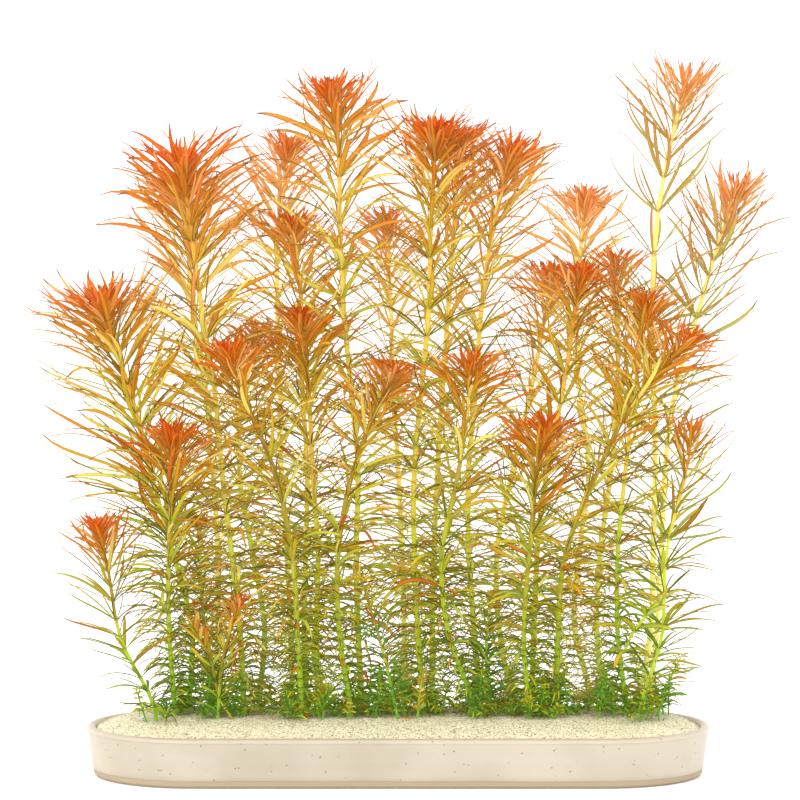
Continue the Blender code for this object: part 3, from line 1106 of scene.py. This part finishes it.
def tuft(place):
    """A whorl of short dark leaves on the sand."""
    size = chance.uniform(0.7, 1.5)
    return Whorl(
        place=place + Vector((0, 0, 1.5 * MM)),
        axis=upward().normalized(),
        leaves=8,
        length=12 * size * MM,
        width=1.3 * MM,
        rise=math.radians(62),
        end=math.radians(-35),
        turn=chance.uniform(0, math.tau),
        age=chance.uniform(0.80, 1.0),
        stem_age=1.0,
        loose=1.4,
        slim_share=0.3,
        rust=0.02,
    )


def sprig(place):
    """The whorls of a short green shoot that has just broken from the foot, and its root."""
    tall = chance.uniform(8, 34)
    lean = upward() * (tall * MM)
    line = Line(np.array([place, place + lean * 0.5, place + lean]))
    habit = Habit(
        width=1.7, reach=chance.uniform(9, 15), spacing=3.6, leaves=6, green=chance.uniform(0.50, 0.88),
        stem_green=0.9, foot=0, droop=70, stout=0.5,
    )
    whorls = whorls_of(line, habit)
    return [*whorls, root_of(line, whorls[-1])]


def near_foot(foot):
    away = chance.uniform(0, math.tau)
    reach = chance.uniform(2.0, 10.0) * MM
    return foot + Vector((reach * math.cos(away), reach * math.sin(away), 0))


def places(per_shoot, loose):
    """Places on the sand: some by the foot of each shoot, some anywhere between the shoots."""
    near = [near_foot(line.at(SAND_TOP)) for line in LINES.values() for _ in range(per_shoot)]
    return near + [
        Vector((chance.uniform(*BED_X) * MM, chance.uniform(*BED_Y) * MM, SAND_TOP)) for _ in range(loose)
    ]


tuft_whorls = [tuft(place) for place in places(TUFTS_PER_SHOOT, LOOSE_TUFTS)]
sprigs = [sprig(place) for place in places(SPRIGS_PER_SHOOT, LOOSE_SPRIGS)]
sprig_whorls = [w for run in sprigs for w in run[:-1]]
print(len(tuft_whorls), "tufts and", len(sprigs), "sprigs")

# %% [markdown]
# ## Side shoots and leaves set one by one
#
# A few side shoots and broad leaves stand where the plant has them. A side shoot is three points and a
# habit, like a young shoot, and the first is the thin branch that leans out of the middle of the stand.
# A whorl set one by one is one row of numbers.

# %% Set one by one
SIDE_SHOOTS = (
    (((0, -22, 0), (-9, -23, 40), (-23, -24, 86)), Habit(
        width=1.4, reach=17, spacing=6.5, leaves=6, green=0.38, stem_green=0.10, foot=0.1, droop=20,
        stout=0.6,
    )),
    (((-99, -25, 14), (-103, -27, 34), (-114, -28, 56)), Habit(
        width=2.8, reach=26, spacing=14, leaves=4, blush=0.4, green=0.2, droop=-14, upright=12, foot=0,
        stout=0.5,
    )),
    (((-41, -27, 0), (-40, -28, 12), (-39, -29, 20)), Habit(
        width=2.8, reach=19, leaves=6, green=0.7, stem_green=0.9, foot=0, stout=0.6,
    )),
    (((11, -22, 0), (12, -23, 15), (15, -24, 30)), Habit(
        width=1.7, reach=8, spacing=4, leaves=4, green=0.16, stem_green=0.6, foot=0, stout=0.6,
    )),
    (((73, -25, 0), (72, -26, 8), (73, -27, 14)), Habit(
        width=2.0, reach=15, leaves=6, green=0.75, stem_green=0.9, foot=0, droop=30, stout=0.6,
    )),
    (((87, -24, 0), (88, -25, 5), (90, -26, 9)), Habit(
        width=2.2, reach=15, leaves=6, green=0.8, stem_green=0.9, foot=0, droop=30, stout=0.6,
    )),
)
HAND_SET = (
    # a lime branch low on shoot 24, tip first
    (
        (143, -26, 65, 5, 17, 3.2, 45, 10, 0, 0.70), (136, -24, 57, 4, 22, 3.6, 40, 10, 2.6, 0.72),
        (129.5, -20, 48.5, 4, 32, 4.0, 24, -10, 0.1, 0.72),
        (124.5, -14, 36, 3, 20, 3.6, 14, -56, 4.7, 0.74),
    ),
    # broad leaves in single whorls: shoots 16, 22, 25 and 27
    ((29.7, -17, 40, 5, 18, 4.0, 28, 0, 0.4, 0.96),),
    ((98.5, 24, 64, 4, 21, 3.8, 6, -25, 0.2, 0.66),),
    ((143.6, -17, 78, 3, 27, 3.2, 48, 22, 0.9, 0.74),),
    ((141.9, -20, 33.5, 4, 24, 2.4, 22, -20, 0.1, 0.74),),
    ((147, 12, 97, 4, 30, 3.0, 52, 30, 0.5, 0.66),),
    # an orange leaf that has dropped on the sand
    ((7.7, -30, 1.0, 1, 9, 2.2, 4, -8, 3.4, 0.3),),
)


def hand_whorl(x, y, height, leaves, length, width, rise, end, turn, age):
    """A whorl set one by one. Sizes are in millimetres, rise and end in degrees, turn in radians."""
    return Whorl(
        place=Vector((x * MM, y * MM, SAND_TOP + height * MM)),
        axis=UP,
        leaves=leaves,
        length=length * MM,
        width=width * MM,
        rise=math.radians(rise),
        end=math.radians(end),
        turn=turn,
        age=age,
        stem_age=0.76,
        loose=0.6,
        slim_share=0.1,
        # a little painted shade on their stems, and no painted light on their leaves
        pale=-0.3,
    )


side_pieces = [small_shoot("side_shoot", *shoot, 50 + k) for k, shoot in enumerate(SIDE_SHOOTS)]
hand_runs = [[hand_whorl(*numbers) for numbers in run] for run in HAND_SET]
hand_whorls = [w for run in hand_runs for w in run]
tufts = join("foot_tufts", [
    grow_leaves("tufts", tuft_whorls, 49), grow_leaves("sprig_leaves", sprig_whorls, 48),
    grow_stem("sprig_stems", sprigs), *side_pieces,
    grow_leaves("hand_set_leaves", hand_whorls, 47), grow_stem("hand_set_stems", hand_runs),
])
print(len(tufts.data.polygons), "faces of tufts and side shoots")

# %% [markdown]
# ## Sweeping an oblong
#
# The trough and its sand are oblong: two straight sides with a half round at each end. Each is one outline
# swept along that path. A ring of the sweep has a radius, its distance from the middle line of the
# oblong, and a height.

# %% Oblong sweep
HALF_STRAIGHT = 112 * MM
STRAIGHT_STEPS = 64
END_STEPS = 40


def oblong_path():
    """The centre and the outward direction at each station of the path."""
    run = np.linspace(-HALF_STRAIGHT, HALF_STRAIGHT, STRAIGHT_STEPS, endpoint=False)
    sweep = np.linspace(-math.pi / 2, math.pi / 2, END_STEPS, endpoint=False)
    front = [((x, 0.0), (0.0, -1.0)) for x in run]
    right = [((HALF_STRAIGHT, 0.0), (math.cos(a), math.sin(a))) for a in sweep]
    back = [((-x, 0.0), (0.0, 1.0)) for x in run]
    left = [((-HALF_STRAIGHT, 0.0), (-math.cos(a), -math.sin(a))) for a in sweep]
    centres, ways = zip(*front, *right, *back, *left)
    return np.array(centres), np.array(ways)


def sweep_oblong(name, outline):
    """A closed solid from rings of (radius, height). The first and last rings are filled."""
    centres, ways = oblong_path()
    count = len(centres)
    rings = []
    for radius, height in outline:
        rings.append(np.column_stack((centres + ways * radius, np.full(count, height))))
    first = np.arange(count)
    second = np.roll(first, -1)
    faces = []
    for k in range(len(outline) - 1):
        low, high = k * count, (k + 1) * count
        faces += np.column_stack((low + first, low + second, high + second, high + first)).tolist()
    faces.append(first[::-1].tolist())
    faces.append((first + (len(outline) - 1) * count).tolist())
    mesh = bpy.data.meshes.new(name)
    mesh.from_pydata(np.vstack(rings).tolist(), [], faces)
    return mesh


print(len(oblong_path()[0]), "stations round the oblong")

# %% [markdown]
# ## The trough
#
# A plain thrown trough in cream stoneware: walls that lean out a little, a round rim and a small foot. The
# rim is half a circle in section, so its points come from an arc. Real stoneware has iron specks in the
# glaze, a browner line where the glaze runs thin over the rim, and a dry band at the foot.

# %% Trough
RIM_LEVEL = 28 * MM
RIM_RADIUS = 2.5 * MM
BASE_RADIUS = 56 * MM
TOP_RADIUS = 60 * MM
WALL = 5 * MM
TROUGH_FLOOR = 5 * MM
FOOT_CHAMFER = 1.5 * MM
FOOT_BAND = 4.5 * MM
GLAZE_EDGE = 0.35 * MM
MIDDLE = 0.4 * MM
WALL_RINGS = 10
RIM_RINGS = 9
THROWING_RIPPLE = 0.12 * MM


def trough_outline():
    """Rings from the middle of the underside, up the outside, over the rim and down to the inside floor."""
    slope = (TOP_RADIUS - BASE_RADIUS) / RIM_LEVEL
    rim_radius = TOP_RADIUS - RIM_RADIUS
    rim_level = RIM_LEVEL - RIM_RADIUS
    rise = np.linspace(FOOT_BAND, rim_level, WALL_RINGS)
    ripple = THROWING_RIPPLE * np.sin(np.linspace(0, 5 * math.pi, WALL_RINGS))
    arc = np.linspace(0, math.pi, RIM_RINGS)
    outline = [(MIDDLE, 0.0), (BASE_RADIUS - FOOT_CHAMFER, 0.0), (BASE_RADIUS, FOOT_CHAMFER)]
    outline += [(BASE_RADIUS + slope * FOOT_BAND - GLAZE_EDGE, FOOT_BAND - GLAZE_EDGE)]
    outline += [(BASE_RADIUS + slope * z + r, z) for z, r in zip(rise, ripple)]
    outline += [(rim_radius + RIM_RADIUS * math.cos(a), rim_level + RIM_RADIUS * math.sin(a)) for a in arc]
    inside = TOP_RADIUS - WALL - slope * (RIM_LEVEL - TROUGH_FLOOR)
    return outline + [(inside, TROUGH_FLOOR), (MIDDLE, TROUGH_FLOOR)]


def finish_dry(graph, hue, rough, bump):
    """Closes a material that only scatters light at its surface."""
    surface = {"Base Color": hue, "Roughness": rough, "Normal": bump}
    return finish_material(graph, graph.node("ShaderNodeBsdfPrincipled", inputs=surface))


def cells(graph, place, scale, output):
    return graph.node("ShaderNodeTexVoronoi", inputs={"Vector": place, "Scale": scale}, output=output)


def trough_material():
    g = new_material("cream stoneware")
    place = g.node("ShaderNodeTexCoord", output="Object")
    level = g.parts(place)[2]
    specks = cells(g, place, 330.0, "Distance")
    speck = g.step(specks, 0.22, 0.10) * g.step(clouds(g, place, 160.0, 1.0), 0.52, 0.62)
    cloud = clouds(g, place, 18.0, 3.0)
    dry = g.step(level + (cloud - 0.5) * (1.0 * MM), FOOT_BAND, FOOT_BAND - 0.3 * MM)
    hue = paint(
        g, g.blend(g.step(cloud, 0.35, 0.7), "A99F8C", "B7AD9B"),
        (speck * 0.75, "5C4634"),
        (g.step(level + (cloud - 0.5) * (2.0 * MM), 0.0262, 0.0279) * 0.4, "96765A"),
        (dry, "A08F76"),
    )
    grain = clouds(g, place, 900.0, 2.0)
    bump = g.node("ShaderNodeBump", inputs={"Strength": 0.15, "Distance": 0.0004, "Height": grain})
    return finish_dry(g, hue, 0.42 + dry * 0.4 + speck * 0.1, bump)


trough_mesh = sweep_oblong("trough", trough_outline())
trough_mesh.materials.append(trough_material())
trough_mesh.shade_smooth()
trough_mesh.set_sharp_from_angle(angle=math.radians(38))
trough = link("trough", trough_mesh)
print("trough with", len(trough_mesh.polygons), "faces")

# %% [markdown]
# ## The sand
#
# The sand is heaped a little along the middle of the trough and falls away to the rim. The bed is one swept
# solid whose top is roughened with noise, coarse and fine.

# %% Sand bed
SAND_PROFILE = ((0, 34.0), (24, 34.0), (38, 32.2), (48, 29.2), (54.6, 26.0))
SAND_RINGS = 40
SAND_STOPS = (
    (0.0, "6A6046"), (0.12, "A0956E"), (0.30, "C2B994"), (0.60, "D0C9A8"), (0.85, "DCD7BE"),
    (1.0, "E6E3D2"),
)
ROUGHNESS_OF_SAND = 0.7 * MM
ROUGH_ABOVE = 24 * MM
SAND_TAPER = 3.4 * MM
SAND_BOTTOM = TROUGH_FLOOR + 0.1 * MM


def sand_material(name, by_grain):
    """Sand, whose tone comes from each grain's own number or from a pattern of cells."""
    g = new_material(name)
    place = g.node("ShaderNodeTexCoord", output="Object")
    if by_grain:
        tone = attribute(g, "grain")
    else:
        tone = g.node("ShaderNodeSeparateColor", inputs={0: cells(g, place, 1500.0, "Color")})
    hue = paint(
        g, g.node("ShaderNodeValToRGB", {"stops": SAND_STOPS}, {"Fac": tone}),
        (g.step(tone, 0.05, 0.02), "4A3F33"),
        (g.step(clouds(g, place, 60.0, 2.0), 0.45, 0.7) * 0.25, "C8B88E"),
    )
    fine = cells(g, place, 1100.0, "Distance")
    bump = g.node("ShaderNodeBump", inputs={"Strength": 0.6, "Distance": 0.0004, "Height": fine})
    return finish_dry(g, hue, 0.75, bump)


def sand_bed():
    radii = np.linspace(MIDDLE / MM, SAND_PROFILE[-1][0], SAND_RINGS)
    top = [(r * MM, interp(r, *SAND_PROFILE) * MM) for r in radii]
    bottom = [(MIDDLE, SAND_BOTTOM), (TOP_RADIUS - WALL - SAND_TAPER, SAND_BOTTOM)]
    mesh = sweep_oblong("sand_bed", [*bottom, *top[::-1]])
    for vertex in mesh.vertices:
        if vertex.co.z > ROUGH_ABOVE:
            coarse = noise.noise(vertex.co * 60.0) * 0.6
            fine = noise.noise(vertex.co * 280.0)
            vertex.co.z += (coarse + fine) * ROUGHNESS_OF_SAND
    mesh.materials.append(sand_material("sand", False))
    mesh.shade_smooth()
    return link("sand_bed", mesh)


bed = sand_bed()
print("sand bed with", len(bed.data.polygons), "faces")

# %% [markdown]
# ## Grains
#
# Real grains a millimetre wide are strewn on the bed, because a flat picture of sand looks like paint when
# seen from the side. A grain is a rough double pyramid of eight faces, turned and squeezed by chance. The
# tree strews them only where the bed faces upwards.

# %% Sand grains
GRAIN_COUNT = 12000
GRAIN_RADIUS = 0.40 * MM
FACES_UP = 0.4
ANY_TURN = 6.2


def grain_tree():
    g = new_tree("Strewn grains", Float=("Per square metre", "Radius"), Int=("Seed",))
    given = g.given
    pick = g.pick
    upwards = g.maths("GREATER_THAN", g.parts(g.node("GeometryNodeInputNormal"))[2], FACES_UP)
    points = g.node("GeometryNodeDistributePointsOnFaces", {"distribute_method": "RANDOM"}, {
        "Mesh": given["Geometry"], "Selection": upwards, "Density": given["Per square metre"],
        "Seed": given["Seed"],
    })
    points = store(g, points, grain=pick(0.0, 1.0, 1))
    ball = g.node("GeometryNodeMeshUVSphere", inputs={"Radius": 1.0, "Segments": 4, "Rings": 2})
    size = given["Radius"] * pick(0.5, 1.35, 2)
    grains = g.node("GeometryNodeInstanceOnPoints", inputs={
        "Points": points, "Instance": ball, "Scale": size * pick((0.7, 0.7, 0.55), (1.2, 1.2, 1.0), 3),
        "Rotation": pick((0.0, 0.0, 0.0), (ANY_TURN, ANY_TURN, ANY_TURN), 4),
    })
    return finish_tree(g, grains)


bed_copy = bed.data.copy()
bed_area = sum(f.area for f in bed_copy.polygons if f.normal.z > FACES_UP)
grains = run_tree(
    "sand_grains", bed_copy, grain_tree(), Per_square_metre=GRAIN_COUNT / bed_area, Radius=GRAIN_RADIUS,
    Seed=5, Material=sand_material("sand grain", True),
)
print("grains with", len(grains.data.polygons), "faces on", round(bed_area * 1e4), "square centimetres")

# %% [markdown]
# ## Light and floor
#
# The plant is shown against plain white in soft light from all sides. An even white sky gives most of it,
# and one large lamp from the upper left gives the leaves some shape. The floor is a wide pale disc.

# %% Stage
FLOOR_RADIUS = 40.0
FLOOR_CORNERS = 64
FLOOR_GREY = 0.88
SKY_STRENGTH = 1.85


def stage_floor():
    mesh = bpy.data.meshes.new("floor")
    turns = np.linspace(0, math.tau, FLOOR_CORNERS, endpoint=False)
    ring = [(FLOOR_RADIUS * math.cos(a), FLOOR_RADIUS * math.sin(a), 0.0) for a in turns]
    mesh.from_pydata(ring, [], [range(FLOOR_CORNERS)])
    floor = link("floor", mesh)
    g = new_material("pale floor")
    surface = {"Base Color": (FLOOR_GREY, FLOOR_GREY, FLOOR_GREY, 1), "Roughness": 0.9}
    mesh.materials.append(finish_material(g, g.node("ShaderNodeBsdfPrincipled", inputs=surface)))


def lamp(name, place, aim, size, power):
    data = bpy.data.lights.new(name, "AREA")
    data.size = size
    data.energy = power
    lamp_object = link(name, data)
    lamp_object.location = place
    lamp_object.rotation_euler = (Vector(aim) - Vector(place)).to_track_quat("-Z", "Y").to_euler()
    lamp_object.visible_camera = False


def sky(strength):
    world = bpy.data.worlds.new("sky")
    world.use_nodes = True
    background = world.node_tree.nodes["Background"]
    background.inputs["Color"].default_value = (1.0, 1.0, 1.0, 1.0)
    background.inputs["Strength"].default_value = strength
    bpy.context.scene.world = world


stage_floor()
sky(SKY_STRENGTH)
lamp("key lamp", place=(-1.4, -1.8, 1.9), aim=(0, 0, 0.2), size=1.4, power=30.0)
bpy.context.scene.view_settings.view_transform = "Standard"
print("lit by a sky of strength", SKY_STRENGTH, "and one lamp")

# %% [markdown]
# ## Taking the solid model's place
#
# Each grown piece takes the place of the solid that it stands for and rides on the root, since nothing of
# this object moves. The tufts and the grains stand for no solid.

# %% Finish
def dress(piece, slot, *nodes):
    """Puts the piece in place of the solid nodes that it stands for."""
    if nodes:
        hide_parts(*nodes)
    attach(piece, "root")


triangles = 0
shoots = (*leaf_pieces.values(), *stem_pieces.values(), *young_pieces.values())
for piece in (*shoots, tufts, trough, bed, grains):
    piece.data.calc_loop_triangles()
    triangles += len(piece.data.loop_triangles)
print("in all", triangles, "triangles")
for n in LINES:
    dress(leaf_pieces[n], "leaf", f"leaves_{n:02d}")
    dress(stem_pieces[n], "stem", f"stem_{n:02d}")
for n in young_pieces:
    dress(young_pieces[n], "leaf", f"young_shoot_{n}")
dress(tufts, "leaf")
dress(trough, "pot", "pot")
dress(bed, "sand", "sand")
dress(grains, "sand")
